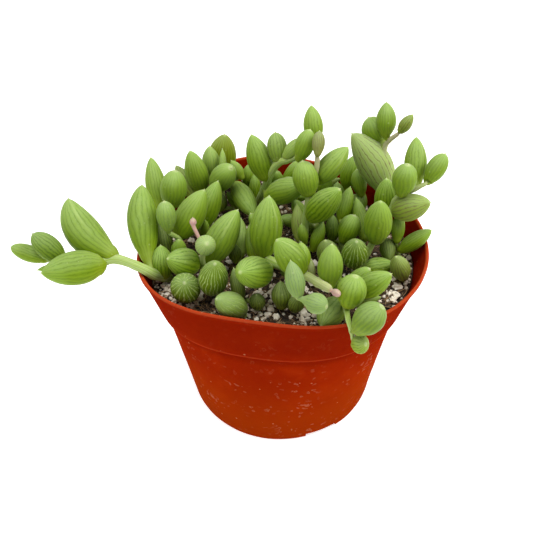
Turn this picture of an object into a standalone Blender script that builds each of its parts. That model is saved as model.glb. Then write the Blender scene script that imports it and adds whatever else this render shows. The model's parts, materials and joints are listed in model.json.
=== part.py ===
# Potted string of watermelons: a soft nursery pot, filled with gritty soil, and the leafy shoots
# that stand in it and hang over its rim.
# The pot stands on the plane z = 0, with its axis on Z. Places and sizes below are millimetres.

import math
import random

import bmesh
import bpy
from mathutils import Vector

MM = 0.001
NAME = "potted_string_of_watermelons"

# The pot
POT_HEIGHT = 76.8
RIM_RADIUS = 51
LIP_HEIGHT = 1.6
LIP_OVERHANG = 0.6
LIP_ROUND = 0.4
COLLAR_BOTTOM = 55.5
COLLAR_RADIUS = 46.6
COLLAR_ROUND = 0.5
BODY_TOP_RADIUS = 44.9
BASE_RADIUS = 39.1
BASE_ROUND = 0.9
WALL = 1.2
FLOOR = 1.4
POT_STEPS = 40
SMOOTH_ANGLE = 35

# The pot is squeezed out of round toward its rim: lobes, size, and the bearing of a crest in degrees.
RIM_WAVES = [(1, 1.8, 14), (2, 1.9, -31), (3, 2.6, -28), (4, 1.2, 25)]
WAVE_GROWTH = 1.5

# Drain notches along the bottom edge
NOTCHES = 3
NOTCH_BEARING = -67
NOTCH_SIZE = (6, 13.5, 2.5)

# The soil
GAP = 0.35
SOIL_EDGE = 67.1
SOIL_TOP = 67.5
SOIL_FLAT_RADIUS = 24
SOIL_ROUND = 0.6
LUMP_RADIUS = (0.9, 1.3)
LUMP_HEIGHT = 67.25
# Open ground where pale lumps lie: x, y, half width along x and y, lumps
LUMP_PATCHES = [(3, -38, 14, 3, 12), (-40, -21, 3, 5, 6), (40, -26, 4, 5, 8), (33, 31, 4, 3, 4)]
SOIL_REACH = 44.5
SOIL_WAVE = 0.8
STEM_CLEARANCE = 4
SEED = 7

# Stems and leaves
ROOT_BOTTOM = 62
ROOT_TOP = 67.6
HOLE_DEPTH = 5.9
HOLE_GAP = 0.6
HOLE_SIDES = 6
STEM_SPACING = 4.5
STEM_ROUNDNESS = 1
THIN_STEM = 1.05
NECK_ROUNDNESS = 0
NECK_SHARE = 0.12
NECK_RADIUS = (0.6, 0.9)
NECK_DEPTH = 0.2
NECK_BEND = 1
SPECK = 0.001
LEAF_SIDES = 6
LEAF_RINGS = (0.08, 0.34, 0.7, 0.94)
SMALL_LEAF = 6
SMALL_LEAF_SIDES = 5
SMALL_LEAF_RINGS = (0.12, 0.5, 0.88)

# A leaf's radius follows s ** a * (1 - s) ** b from foot to tip
POINTED = (0.6, 0.75)
ROUND = (0.6, 0.55)
TAPERED = (0.75, 0.7)

# Colour and roughness
POT_LOOK = ((0.30, 0.02, 0.002), 0.45)
SOIL_LOOK = ((0.03, 0.018, 0.01), 0.95)
LEAF_LOOK = ((0.17, 0.30, 0.02), 0.5)


def leaf(foot, tip, wide, form=POINTED, bow=(0, 0, 0)):
    return {"foot": foot, "tip": tip, "wide": wide, "form": form, "bow": bow}


def shoot(root, thick, stems, leaves):
    """A leafy stem: its root in the soil, its thickness at root and tip, its ways and its leaves."""
    return {"root": root, "thick": thick, "stems": stems, "leaves": leaves}


SHOOTS = {
    # Hangs out over the rim on the left.
    "trailer_left": shoot(
        (-40, -13), (4.2, 2.4),
        [
            [
                (-43, -19, 75), (-46.5, -20, 79.2), (-55, -17, 81),
                (-61, -18, 81), (-70, -19, 82), (-78, -18, 83),
            ],
        ],
        [
            leaf((-55, -16, 81), (-72, -1, 96), 12.5, TAPERED, (-2.8, -1.6, -1.7)),
            leaf((-59, -19, 81), (-78, -27, 85), 11.5),
            leaf((-73, -18, 82), (-82, -15, 92), 8, ROUND),
            leaf((-79, -17, 82), (-92, -13, 85), 6, ROUND),
            leaf((-75, -20, 82), (-82, -21, 81), 2),
            leaf((-41, -16, 70), (-40.7, -11.5, 82), 8.8),
            leaf((-45, -15, 77), (-47.5, 7, 95), 10.9, TAPERED, (-1, 0, 0)),
        ],
    ),
    "left_low": shoot(
        (-35, -3), (2.2, 1.7),
        [[(-36, -2, 73), (-35, -5, 79), (-38, -7, 84)]],
        [
            leaf((-38, -7, 85), (-38, -5, 96), 7, ROUND),
            leaf((-36, -2, 77), (-25, 4, 94), 10.5),
            leaf((-36, -8, 72), (-34.2, -10, 83), 5.8),
        ],
    ),
    "left_edge": shoot(
        (-40, -5), (2, 1.6),
        [[(-40, -5, 69)]],
        [leaf((-40.6, -6, 70), (-42.4, 1.5, 82.5), 7)],
    ),
    "left_middle": shoot(
        (-28, 9), (2.2, 1.6),
        [[(-29, 6, 74)]],
        [
            leaf((-29, 8, 73), (-21, 15, 90), 9),
            leaf((-28, 6, 71), (-26, 3, 81), 4),
        ],
    ),
    "left_back": shoot(
        (-39, 16), (2.2, 1.6),
        [[(-39, 12, 74), (-39, 10, 82)]],
        [
            leaf((-39, 10, 82), (-36, 14, 96), 10, ROUND),
            leaf((-44, 13, 79), (-47, 27, 94), 8),
        ],
    ),
    "back_left_outer": shoot(
        (-29, 31), (2.2, 1.6),
        [[(-30, 26, 76)]],
        [
            leaf((-32, 24, 76), (-39, 33, 86), 7),
            leaf((-29, 26, 77), (-32, 29, 95), 9),
        ],
    ),
    "back_left_inner": shoot(
        (-22, 36), (2.4, 1.6),
        [
            [(-22, 34, 74), (-23, 30, 79), (-24, 26, 81)],
            [(-22, 35, 72), (-18, 34, 77), (-14, 33, 79)],
        ],
        [
            leaf((-25, 33, 80), (-25, 35, 93), 7.4),
            leaf((-23, 42, 75), (-19, 40, 95), 11.5),
            leaf((-20, 27, 85), (-20, 34, 92), 3),
            leaf((-24, 25, 80), (-16, 19, 93), 9.5, ROUND),
            leaf((-13, 32, 79), (-17, 35, 86), 5),
        ],
    ),
    "back_middle": shoot(
        (-11, 31), (2, 1.6),
        [
            [(-12, 29, 74), (-15, 28, 78)],
            [(-11, 31, 69), (-14, 26, 70), (-21, 23, 71)],
        ],
        [
            leaf((-16, 29, 79), (-8, 11, 76), 8.5),
            leaf((-15, 23, 71), (-19, 25, 78), 3.5),
            leaf((-11, 37, 72), (-10, 38, 82), 6),
            leaf((-8, 30, 70), (-8, 34, 80), 5),
            leaf((-22, 22, 71), (-21, 25, 77), 5),
        ],
    ),
    # The two tall shoots of the middle.
    "middle_back": shoot(
        (-8, 27), (3.2, 2.4),
        [[(-5, 23, 78), (-1, 19, 90), (2, 18, 95), (8, 15, 99), (14, 15, 104)]],
        [
            leaf((-3, 20, 86), (-8, 27, 102), 9.5),
            leaf((2, 18, 94), (1, 26, 103), 7.5, ROUND),
            leaf((4, 17, 97), (12, 18, 105), 6.5),
            leaf((9, 11, 100), (13, 13, 111), 7, ROUND),
            leaf((15, 16, 104), (14, 23, 115), 7),
            leaf((-3, 18, 80), (11, 9, 91), 10),
        ],
    ),
    "middle": shoot(
        (9, -3), (3.2, 1.8),
        [[(10, -2, 74), (11, 0, 84), (12, 1, 91), (14, 4, 97), (15, 5, 102), (15, 6, 105)]],
        [
            leaf((12, 1, 91), (10, 6, 103), 9, ROUND),
            leaf((15, 6, 94), (26, 9, 106), 8.5),
            leaf((12, -1, 83), (22, -6, 99), 10),
            leaf((10, -5, 75), (9, -4, 83), 4),
            leaf((15, 4, 106), (16, 10, 112), 4.5, ROUND),
            leaf((8, -1, 73), (8, 8, 83), 5),
            leaf((13, -5, 71), (17, -2, 82), 5),
        ],
    ),
    "back_right": shoot(
        (40, 19), (2.6, 1.6),
        [[(42, 18, 78), (41, 17, 93), (41, 19, 100), (45, 17, 106)]],
        [
            leaf((43, 16, 81), (29, 23, 103), 13, POINTED, (1, 0, 1)),
            leaf((41, 20, 103), (41, 25, 114), 7.4),
            leaf((40, 23, 98), (35.5, 28, 106.5), 9.5, ROUND),
            leaf((45, 17, 106), (49, 17, 113), 4.5),
        ],
    ),
    "right": shoot(
        (31, -9), (3, 1.5),
        [[(32, -9, 71), (35, -7, 77), (40, -4, 86), (42, -3, 92), (47, -3, 95), (52, -3, 98)]],
        [
            leaf((35, -9, 78), (35, -11, 97), 10),
            leaf((40, 1, 81), (39, 2, 97), 8.5),
            leaf((41, -4, 87), (52, -10, 95), 9.5),
            leaf((43, -5, 95), (44, -5, 107), 8.4, ROUND),
            leaf((49, 1, 94), (50, 12, 107), 8),
            leaf((52, -2, 97), (58, 2, 106), 6.6, ROUND),
        ],
    ),
    "right_edge": shoot(
        (45, -7), (2, 1.4),
        [[(44, -6, 70), (43, -6, 75)]],
        [
            leaf((43, -8, 76), (44, -2, 84), 5, ROUND),
            leaf((44, -9, 73), (54, -10, 83), 6),
            leaf((40, -4, 74), (40, -13, 72), 6),
        ],
    ),
    "right_sprout": shoot(
        (45, -17), (2, 1.6),
        [[(44, -18, 69)]],
        [leaf((44, -20, 70), (40, -21, 81), 7)],
    ),
    "right_low": shoot(
        (28, -16), (2.4, 1.6),
        [[(28, -15, 70)]],
        [
            leaf((30, -16, 71), (41, -16, 73), 7),
            leaf((27, -13, 71), (27, -17, 85), 9.5),
        ],
    ),
    "right_middle": shoot(
        (24, -1), (2.4, 1.4),
        [
            [(24, 0, 71), (24, 2, 78)],
            [(24, -1, 69), (29, -2, 70), (33, -2, 72)],
        ],
        [
            leaf((24, 4, 77), (28, 12, 87), 6),
            leaf((33, -2, 72), (30, 9, 84), 6),
            leaf((24, -6, 76), (28, -4, 86), 8, ROUND),
            leaf((21, 1, 70), (21, 5, 80), 5.5),
        ],
    ),
    "right_back": shoot(
        (30, 25), (2.2, 1.6),
        [
            [(30, 25, 72), (33, 22, 76)],
            [(30, 25, 69), (25, 26, 70), (19, 26, 72)],
            [(30, 25, 69), (32, 20, 70), (32, 17, 70)],
        ],
        [
            leaf((34, 21, 76), (32, 25, 86), 6, ROUND),
            leaf((29, 29, 74), (32, 32, 88), 8),
            leaf((25, 25, 70), (25, 27, 79), 6),
            leaf((19, 26, 73), (21, 21, 85), 6),
            leaf((32, 17, 70), (35, 25, 76), 6),
        ],
    ),
    # Creeps over the front of the middle, with a side shoot toward the rim.
    "creeper": shoot(
        (-8, -6), (3.4, 2.8),
        [
            [(-8, -7, 70), (-5, -12, 75), (2, -24, 81), (9, -32, 84), (13, -38, 86), (16, -42, 87)],
            [(4, -27, 82), (6, -38, 86), (6, -45, 87)],
        ],
        [
            leaf((-5, -13, 76), (-2, -7, 98), 11.5),
            leaf((-8, -11, 72), (-9, -2, 83), 6.5),
            leaf((-4, -22, 77), (-12, -35, 89.3), 11),
            leaf((8, -31, 83), (0, -29, 97), 9.5, POINTED, (0, 1, 0)),
            leaf((8, -27, 82), (8, -21, 89), 6),
            leaf((16, -36, 83), (17, -32, 97), 8),
            leaf((6, -45, 87), (4, -38, 96), 6.1),
            leaf((16.5, -42.5, 87), (18.2, -46.2, 89), 2.4, ROUND),
            leaf((8, -46.5, 87.5), (14, -51, 89), 6.3, ROUND),
        ],
    ),
    # Hangs over the rim at the front.
    "trailer_front": shoot(
        (21, -32), (2.6, 1.4),
        [[(21, -36, 75), (21, -43, 79), (21, -48, 80), (22, -50, 77), (23, -49, 71)]],
        [
            leaf((21.3, -42.8, 80.2), (23.6, -40.6, 91.2), 9.3, ROUND),
            leaf((25, -35, 78), (35, -38, 89), 8),
            leaf((23, -35, 74), (33, -36, 77), 5),
            leaf((20, -34, 74), (13, -45, 74), 9),
            leaf((23, -51, 78), (30.6, -50.2, 87.4), 9.5, ROUND),
            leaf((23, -51, 72), (26, -54, 75), 6, ROUND),
        ],
    ),
    "front_left": shoot(
        (-27, -11), (2.6, 2),
        [
            [(-26, -14, 73)],
            [(-26, -14, 72), (-26, -17, 79), (-25, -16, 84)],
            [(-27, -12, 70), (-28, -19, 71), (-31, -24, 71)],
            [(-27, -12, 70), (-25, -19, 71), (-23, -24, 71)],
        ],
        [
            leaf((-28, -13, 91), (-28, -11.5, 93.4), 2.4, ROUND),
            leaf((-28, -15, 75), (-37, -21, 84), 10),
            leaf((-32, -24, 71), (-31, -29, 80), 10.5),
            leaf((-23, -24, 71), (-20, -30, 89), 10),
            leaf((-25, -13, 74), (-13, -6, 92), 11),
            leaf((-25, -16, 84), (-23, -21, 90), 7, ROUND),
        ],
    ),
    "front_ball": shoot(
        (-12, -33), (2.4, 1.8),
        [[(-12, -34, 69)]],
        [leaf((-12, -34, 71), (-20, -38, 81), 9)],
    ),
    "inner_left": shoot(
        (-14, -5), (2.2, 1.8),
        [[(-14, -6, 69)]],
        [
            leaf((-13, -5, 70), (-13, 6, 79), 5),
            leaf((-15, -8, 70), (-16, -6, 77), 5),
        ],
    ),
    "inner_front": shoot(
        (-11, -27), (2.2, 1.8),
        [[(-11, -27, 69)]],
        [
            leaf((-7.2, -31, 69.2), (-7.4, -31.8, 76), 5.6),
            leaf((-13, -28, 69), (-15, -21.5, 79), 5),
        ],
    ),
    "front_middle": shoot(
        (2, -30), (2.2, 1.6),
        [[(2, -30, 69)]],
        [
            leaf((5, -33, 69.5), (6.5, -35, 77.5), 5.5),
            leaf((1, -31.5, 69.4), (0.7, -28, 78), 7),
        ],
    ),
    "purple_bud": shoot(
        (12, -17), (1.6, 1.4),
        [[(12, -17, 69)]],
        [leaf((12, -19, 69), (12, -13, 74), 3)],
    ),
    "front_right": shoot(
        (19, -9), (2, 1.6),
        [[(19, -9, 69)]],
        [leaf((19, -11, 70), (17, -11, 81), 8)],
    ),
}

# Small low rosettes that fill the ground between the shoots: x, y, leaves, leaf length, bearing
ROSETTES = [
    (3, 39, 4, 13, 240),
    (13, 38, 3, 7, 96),
    (8, 28, 4, 6, 264),
    (21, 36, 3, 7, 72),
    (13, 10, 5, 12, 0),
    (-4, 4, 3, 11, 0),
    (4, -15, 3, 10, 120),
    (-20, 3, 3, 8, 120),
    (36, 10, 3, 12, 24),
    (22, -25, 3, 13, 216),
    (-35, 19, 4, 8, 336),
]
ROSETTE_THICK = (2, 1.6)
ROSETTE_TURN = 137.5
ROSETTE_LEAN = (28, 9)
ROSETTE_STEM = (69, 70.5)
ROSETTE_FOOT = 69.6
ROSETTE_RISE = 0.5
ROSETTE_REACH = 0.8
ROSETTE_WIDTH = 0.46


def rosette(x, y, count, long, bearing):
    """A short stem with leaves that turn round it, each leaning out further than the last."""
    leaves = []
    for number in range(count):
        turn = math.radians(bearing + ROSETTE_TURN * number)
        lean = math.radians(ROSETTE_LEAN[0] + ROSETTE_LEAN[1] * number)
        out = Vector((math.cos(turn), math.sin(turn), 0))
        foot = Vector((x, y, ROSETTE_FOOT + ROSETTE_RISE * number)) + ROSETTE_REACH * out
        tip = foot + long * (math.sin(lean) * out + Vector((0, 0, math.cos(lean))))
        leaves.append(leaf(foot, tip, ROSETTE_WIDTH * long, ROUND))
    return shoot((x, y), ROSETTE_THICK, [[(x, y, height) for height in ROSETTE_STEM]], leaves)


def all_shoots():
    shoots = dict(SHOOTS)
    for number, row in enumerate(ROSETTES):
        shoots[f"rosette_{number + 1}"] = rosette(*row)
    return shoots


def clear_scene():
    for old in list(bpy.data.objects):
        bpy.data.objects.remove(old, do_unlink=True)


def new_collection(name):
    made = bpy.data.collections.new(name)
    bpy.context.scene.collection.children.link(made)
    return made


def material(name, finish):
    colour, roughness = finish
    made = bpy.data.materials.new(name)
    made.use_nodes = True
    shader = made.node_tree.nodes["Principled BSDF"]
    shader.inputs["Base Color"].default_value = (*colour, 1)
    shader.inputs["Roughness"].default_value = roughness
    shader.inputs["Metallic"].default_value = 0
    made.diffuse_color = (*colour, 1)
    return made


def add_object(name, mesh, where, look=None):
    made = bpy.data.objects.new(name, mesh)
    where.objects.link(made)
    if look:
        mesh.materials.append(look)
    return made


def evaluated_mesh(source):
    """The object's mesh with its modifiers or its curve's tube, as a mesh of its own."""
    bpy.context.view_layer.update()
    graph = bpy.context.evaluated_depsgraph_get()
    return bpy.data.meshes.new_from_object(source.evaluated_get(graph), depsgraph=graph)


def turned_mesh(profile, steps):
    """The solid that a profile of (radius, height) in millimetres makes round Z."""
    outline = bpy.data.meshes.new("profile")
    points = [(radius * MM, 0, height * MM) for radius, height in profile]
    outline.from_pydata(points, [(i, i + 1) for i in range(len(points) - 1)], [])
    source = bpy.data.objects.new("profile", outline)
    bpy.context.scene.collection.objects.link(source)
    screw = source.modifiers.new("turn", "SCREW")
    screw.steps = steps
    screw.render_steps = steps
    screw.use_merge_vertices = True
    screw.merge_threshold = 1e-6
    made = evaluated_mesh(source)
    bpy.data.objects.remove(source)
    return made


def signed_volume(faces):
    total = 0
    for face in faces:
        corners = [vertex.co for vertex in face.verts]
        for second, third in zip(corners[1:], corners[2:]):
            total += corners[0].dot(second.cross(third)) / 6
    return total


def fill_pockets(mesh):
    """Removes the shells of pockets that touching leaves shut in, and specks that a join leaves."""
    work = bmesh.new()
    work.from_mesh(mesh)
    waiting = set(work.faces)
    pockets = []
    while waiting:
        shell = set()
        reached = [waiting.pop()]
        while reached:
            face = reached.pop()
            shell.add(face)
            for edge in face.edges:
                for other in edge.link_faces:
                    if other in waiting:
                        waiting.remove(other)
                        reached.append(other)
        if signed_volume(shell) < SPECK * MM**3:
            pockets.extend(shell)
    bmesh.ops.delete(work, geom=pockets, context="FACES")
    work.to_mesh(mesh)
    work.free()


def join_all(base, others, solver):
    """One Boolean union of base with every object of the collection others, applied."""
    union = base.modifiers.new("join", "BOOLEAN")
    union.operation = "UNION"
    union.operand_type = "COLLECTION"
    union.collection = others
    union.solver = solver
    joined = evaluated_mesh(base)
    base.modifiers.clear()
    base.data = joined
    for used in list(others.objects):
        bpy.data.objects.remove(used)
    bpy.data.collections.remove(others)


def wave_at(turn):
    return sum(
        size * math.cos(lobes * (turn - math.radians(crest))) for lobes, size, crest in RIM_WAVES
    )


def squeeze(mesh):
    """Moves a round mesh's points in or out, as the soft pot is out of round toward its rim."""
    for vertex in mesh.vertices:
        x, y, z = vertex.co / MM
        radius = math.hypot(x, y)
        if radius < 1:
            continue
        share = max(z / POT_HEIGHT, 0) ** WAVE_GROWTH * min(1, radius / BASE_RADIUS)
        moved = 1 + share * wave_at(math.atan2(y, x)) / radius
        vertex.co.x *= moved
        vertex.co.y *= moved


def pot_profile():
    """Up the inside from the middle of the floor, over the lip, and down the outside."""
    half = 0.5 * COLLAR_BOTTOM
    half_radius = 0.5 * (BASE_RADIUS + BODY_TOP_RADIUS)
    return [
        (0, FLOOR),
        (BASE_RADIUS - WALL - COLLAR_ROUND, FLOOR),
        (half_radius - WALL, half),
        (BODY_TOP_RADIUS - WALL, COLLAR_BOTTOM),
        (COLLAR_RADIUS - WALL, COLLAR_BOTTOM + 1.2),
        (RIM_RADIUS - WALL - LIP_ROUND, POT_HEIGHT - LIP_HEIGHT),
        (RIM_RADIUS - WALL, POT_HEIGHT - LIP_ROUND),
        (RIM_RADIUS - 0.5 * WALL, POT_HEIGHT),
        (RIM_RADIUS, POT_HEIGHT - LIP_ROUND),
        (RIM_RADIUS, POT_HEIGHT - LIP_HEIGHT),
        (RIM_RADIUS - LIP_OVERHANG, POT_HEIGHT - LIP_HEIGHT - LIP_ROUND),
        (COLLAR_RADIUS, COLLAR_BOTTOM + COLLAR_ROUND),
        (COLLAR_RADIUS - COLLAR_ROUND, COLLAR_BOTTOM),
        (BODY_TOP_RADIUS, COLLAR_BOTTOM - COLLAR_ROUND),
        (half_radius, half),
        (BASE_RADIUS, BASE_ROUND),
        (BASE_RADIUS - BASE_ROUND, 0),
        (0, 0),
    ]


def soil_profile():
    """From the middle of the top, out to the wall and down to the floor, clear of the pot all the way."""
    inside = WALL + GAP
    half = 0.5 * COLLAR_BOTTOM
    edge_share = (SOIL_EDGE - COLLAR_BOTTOM) / (POT_HEIGHT - COLLAR_BOTTOM)
    edge_radius = COLLAR_RADIUS + edge_share * (RIM_RADIUS - LIP_ROUND - COLLAR_RADIUS)
    return [
        (0, SOIL_TOP),
        (SOIL_FLAT_RADIUS, SOIL_TOP),
        (edge_radius - inside - 2 * SOIL_ROUND, SOIL_EDGE),
        (edge_radius - inside - 0.2, SOIL_EDGE - SOIL_ROUND),
        (COLLAR_RADIUS - inside - 0.1, COLLAR_BOTTOM + 1.6),
        (BODY_TOP_RADIUS - inside - 0.1, COLLAR_BOTTOM + 0.2),
        (0.5 * (BASE_RADIUS + BODY_TOP_RADIUS) - inside, half),
        (BASE_RADIUS - inside - SOIL_ROUND, FLOOR + GAP),
        (0, FLOOR + GAP),
    ]


def make_pot(parts, cutters):
    look = material("pot", POT_LOOK)
    mesh = turned_mesh(pot_profile(), POT_STEPS)
    squeeze(mesh)
    mesh.shade_smooth()
    mesh.set_sharp_from_angle(angle=math.radians(SMOOTH_ANGLE))
    pot = add_object("pot", mesh, parts, look)
    along, across, high = (size * MM for size in NOTCH_SIZE)
    for number in range(NOTCHES):
        turn = math.radians(NOTCH_BEARING + 360 * number / NOTCHES)
        bpy.ops.mesh.primitive_cube_add(size=1)
        cutter = bpy.context.object
        cutter.name = f"notch_{number + 1}"
        cutter.scale = (along, across, 2 * high)
        cutter.rotation_euler.z = turn
        cutter.location = (BASE_RADIUS * MM * math.cos(turn), BASE_RADIUS * MM * math.sin(turn), 0)
        cutter.hide_render = True
        cutter.display_type = "WIRE"
        for home in list(cutter.users_collection):
            home.objects.unlink(cutter)
        cutters.objects.link(cutter)
    cut = pot.modifiers.new("notches", "BOOLEAN")
    cut.operation = "DIFFERENCE"
    cut.operand_type = "COLLECTION"
    cut.collection = cutters
    return pot


def open_ground(spot, shoots):
    """Whether a lump has room there, clear of the wall and of every stem."""
    reach = SOIL_REACH + SOIL_WAVE * wave_at(math.atan2(spot[1], spot[0]))
    clear = min(math.dist(spot, plant["root"]) for plant in shoots.values())
    return math.hypot(*spot) < reach and clear > STEM_CLEARANCE


def make_soil(parts, holes, shoots):
    look = material("soil", SOIL_LOOK)
    mesh = turned_mesh(soil_profile(), POT_STEPS)
    squeeze(mesh)
    soil = add_object("soil", mesh, parts, look)
    pick = random.Random(SEED)
    lumps = new_collection("soil_lumps")
    for x, y, wide, deep, count in LUMP_PATCHES:
        for _ in range(count):
            spot = (pick.uniform(x - wide, x + wide), pick.uniform(y - deep, y + deep))
            if not open_ground(spot, shoots):
                continue
            radius = pick.uniform(*LUMP_RADIUS)
            ball = bmesh.new()
            bmesh.ops.create_icosphere(ball, subdivisions=1, radius=radius * MM)
            lump = bpy.data.meshes.new("lump")
            ball.to_mesh(lump)
            ball.free()
            placed = add_object("lump", lump, lumps)
            placed.location = Vector((*spot, LUMP_HEIGHT)) * MM
            placed.rotation_euler = [pick.uniform(0, math.tau) for _ in range(3)]
    join_all(soil, lumps, "MANIFOLD")
    for name, plant in shoots.items():
        x, y = plant["root"]
        radius = (0.5 * plant["thick"][0] + HOLE_GAP) * MM
        depth = 2 * HOLE_DEPTH * MM
        bpy.ops.mesh.primitive_cylinder_add(vertices=HOLE_SIDES, radius=radius, depth=depth)
        hole = bpy.context.object
        hole.name = f"hole_{name}"
        hole.location = Vector((x, y, SOIL_TOP)) * MM
        hole.hide_render = True
        hole.display_type = "WIRE"
        for home in list(hole.users_collection):
            home.objects.unlink(hole)
        holes.objects.link(hole)
    cut = soil.modifiers.new("stem holes", "BOOLEAN")
    cut.operation = "DIFFERENCE"
    cut.operand_type = "COLLECTION"
    cut.collection = holes
    return soil


def smooth_way(points):
    """Evenly spaced points on a smooth curve through the given ones."""
    ends = [2 * points[0] - points[1]] + points + [2 * points[-1] - points[-2]]
    way = []
    for i in range(1, len(ends) - 2):
        a, b, c, d = ends[i - 1 : i + 3]
        steps = max(1, round((c - b).length / STEM_SPACING))
        for step in range(steps):
            t = step / steps
            way.append(
                0.5
                * (
                    2 * b
                    + (c - a) * t
                    + (2 * a - 5 * b + 4 * c - d) * t**2
                    + (3 * b - a - 3 * c + d) * t**3
                )
            )
    return way + [points[-1]]


def tube_mesh(way, radii, roundness):
    """A closed round tube along the points, with a radius at each, all in millimetres."""
    curve = bpy.data.curves.new("tube", "CURVE")
    curve.dimensions = "3D"
    curve.bevel_depth = MM
    curve.bevel_resolution = roundness
    curve.use_fill_caps = True
    spline = curve.splines.new("POLY")
    spline.points.add(len(way) - 1)
    for point, at, radius in zip(spline.points, way, radii):
        point.co = (*(at * MM), 1)
        point.radius = radius
    source = bpy.data.objects.new("tube", curve)
    bpy.context.scene.collection.objects.link(source)
    mesh = evaluated_mesh(source)
    bpy.data.objects.remove(source)
    welded = bmesh.new()
    welded.from_mesh(mesh)
    bmesh.ops.remove_doubles(welded, verts=welded.verts, dist=1e-6)
    bmesh.ops.recalc_face_normals(welded, faces=welded.faces)
    welded.to_mesh(mesh)
    welded.free()
    return mesh


def leaf_mesh(shape):
    """A fleshy spindle from foot to tip, turned from its profile and bowed to one side."""
    foot = Vector(shape["foot"])
    along = Vector(shape["tip"]) - foot
    a, b = shape["form"]
    widest = a / (a + b)
    small = shape["wide"] < SMALL_LEAF
    profile = [(0, along.length)]
    for s in reversed(SMALL_LEAF_RINGS if small else LEAF_RINGS):
        radius = 0.5 * shape["wide"] * (s / widest) ** a * ((1 - s) / (1 - widest)) ** b
        profile.append((radius, s * along.length))
    profile.append((0, 0))
    mesh = turned_mesh(profile, SMALL_LEAF_SIDES if small else LEAF_SIDES)
    turn = along.to_track_quat("Z", "Y")
    bow = Vector(shape["bow"])
    for vertex in mesh.vertices:
        s = vertex.co.z / MM / along.length
        vertex.co = (turn @ (vertex.co / MM) + foot + 4 * s * (1 - s) * bow) * MM
    return mesh


def stem_ways(plant):
    """The smooth points of each of a shoot's stems, in millimetres. The first stands in the soil."""
    x, y = plant["root"]
    ways = []
    for number, points in enumerate(plant["stems"]):
        points = [Vector(point) for point in points]
        if number == 0:
            points = [Vector((x, y, ROOT_BOTTOM)), Vector((x, y, ROOT_TOP))] + points
        ways.append(smooth_way(points))
    return ways


def make_shoot(name, plant, parts, look):
    """Stems and leaves as one body. Each leaf has a short neck sunk in the nearest stem."""
    ways = stem_ways(plant)
    thick, thin = (0.5 * size for size in plant["thick"])
    others = new_collection(f"{name}_leaves")
    for number, way in enumerate(ways):
        start = thick if number == 0 else thin
        radii = [start + (thin - start) * i / (len(way) - 1) for i in range(len(way))]
        mesh = tube_mesh(way, radii, STEM_ROUNDNESS if thick > THIN_STEM else NECK_ROUNDNESS)
        if number == 0:
            body = add_object(f"shoot_{name}", mesh, parts, look)
        else:
            add_object("stem", mesh, others)
    for shape in plant["leaves"]:
        add_object("leaf", leaf_mesh(shape), others)
        foot = Vector(shape["foot"])
        into = foot + NECK_DEPTH * (Vector(shape["tip"]) - foot)
        near = min((point for way in ways for point in way), key=lambda point: (point - foot).length)
        radius = min(max(NECK_SHARE * shape["wide"], NECK_RADIUS[0]), NECK_RADIUS[1])
        bends = [near, foot, into] if (foot - near).length > NECK_BEND else [near, into]
        add_object("neck", tube_mesh(bends, [radius] * len(bends), NECK_ROUNDNESS), others)
    join_all(body, others, "MANIFOLD")
    fill_pockets(body.data)
    body.data.shade_smooth()
    return body


def build():
    clear_scene()
    parts = new_collection(NAME)
    cutters = new_collection("notch_cutters")
    holes = new_collection("stem_holes")
    shoots = all_shoots()
    look = material("leaf", LEAF_LOOK)
    for name, plant in shoots.items():
        make_shoot(name, plant, parts, look)
    make_soil(parts, holes, shoots)
    make_pot(parts, cutters)


build()
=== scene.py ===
import json
import random
from math import atan2, cos, exp, hypot, pi, radians, sin, tau

import bmesh
import bpy
from mathutils import Matrix, Vector, noise

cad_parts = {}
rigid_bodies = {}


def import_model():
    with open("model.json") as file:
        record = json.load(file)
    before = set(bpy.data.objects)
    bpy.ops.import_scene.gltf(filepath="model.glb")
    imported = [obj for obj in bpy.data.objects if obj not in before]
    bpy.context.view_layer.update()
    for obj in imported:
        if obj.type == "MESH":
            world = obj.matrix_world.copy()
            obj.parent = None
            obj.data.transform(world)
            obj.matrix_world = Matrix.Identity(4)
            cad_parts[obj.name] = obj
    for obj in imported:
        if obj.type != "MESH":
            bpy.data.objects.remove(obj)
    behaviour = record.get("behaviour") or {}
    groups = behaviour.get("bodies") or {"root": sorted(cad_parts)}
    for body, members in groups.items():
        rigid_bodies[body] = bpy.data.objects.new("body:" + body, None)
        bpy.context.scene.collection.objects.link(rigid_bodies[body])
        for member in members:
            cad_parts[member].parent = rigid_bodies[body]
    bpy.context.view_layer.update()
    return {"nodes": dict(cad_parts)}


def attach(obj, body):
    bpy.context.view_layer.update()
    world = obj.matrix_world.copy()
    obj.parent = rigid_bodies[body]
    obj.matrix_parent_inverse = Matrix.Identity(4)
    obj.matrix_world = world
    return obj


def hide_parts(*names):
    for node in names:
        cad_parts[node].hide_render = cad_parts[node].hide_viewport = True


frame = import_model()
print("frame loaded:", len(frame["nodes"]), "nodes")

# Places and sizes below are millimetres, as in the part, and become metres in the meshes.
mm = 0.001
body = "root"

# The photograph's viewpoint, with lens and sensor width for its square frame
cameraMake = {
    "place": (0, -178.6, 221),
    "right": (0.999, -0.012, -0.04),
    "up": (0.038, 0.67, 0.741),
    "lens": 42.03, "sensor": 36, "clip": (10, 10000),
}

lightMake = {
    "world": (1, 1, 1),
    "worldStrength": 0.44,
    # name, place, aim, size, watts, colour
    "lamps": [
        ("keyLamp", (340, -30, 420), (0, 0, 80), 260, 1.42, (1, 0.985, 0.95)),
        ("topLamp", (-60, -20, 520), (0, 0, 80), 300, 1.3, (1, 1, 0.98)),
        ("fillLamp", (-330, -230, 260), (0, 0, 60), 320, 0.2, (0.96, 0.98, 1)),
    ],
}


def addObject(name, data):
    made = bpy.data.objects.new(name, data)
    bpy.context.scene.collection.objects.link(made)
    return made


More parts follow.
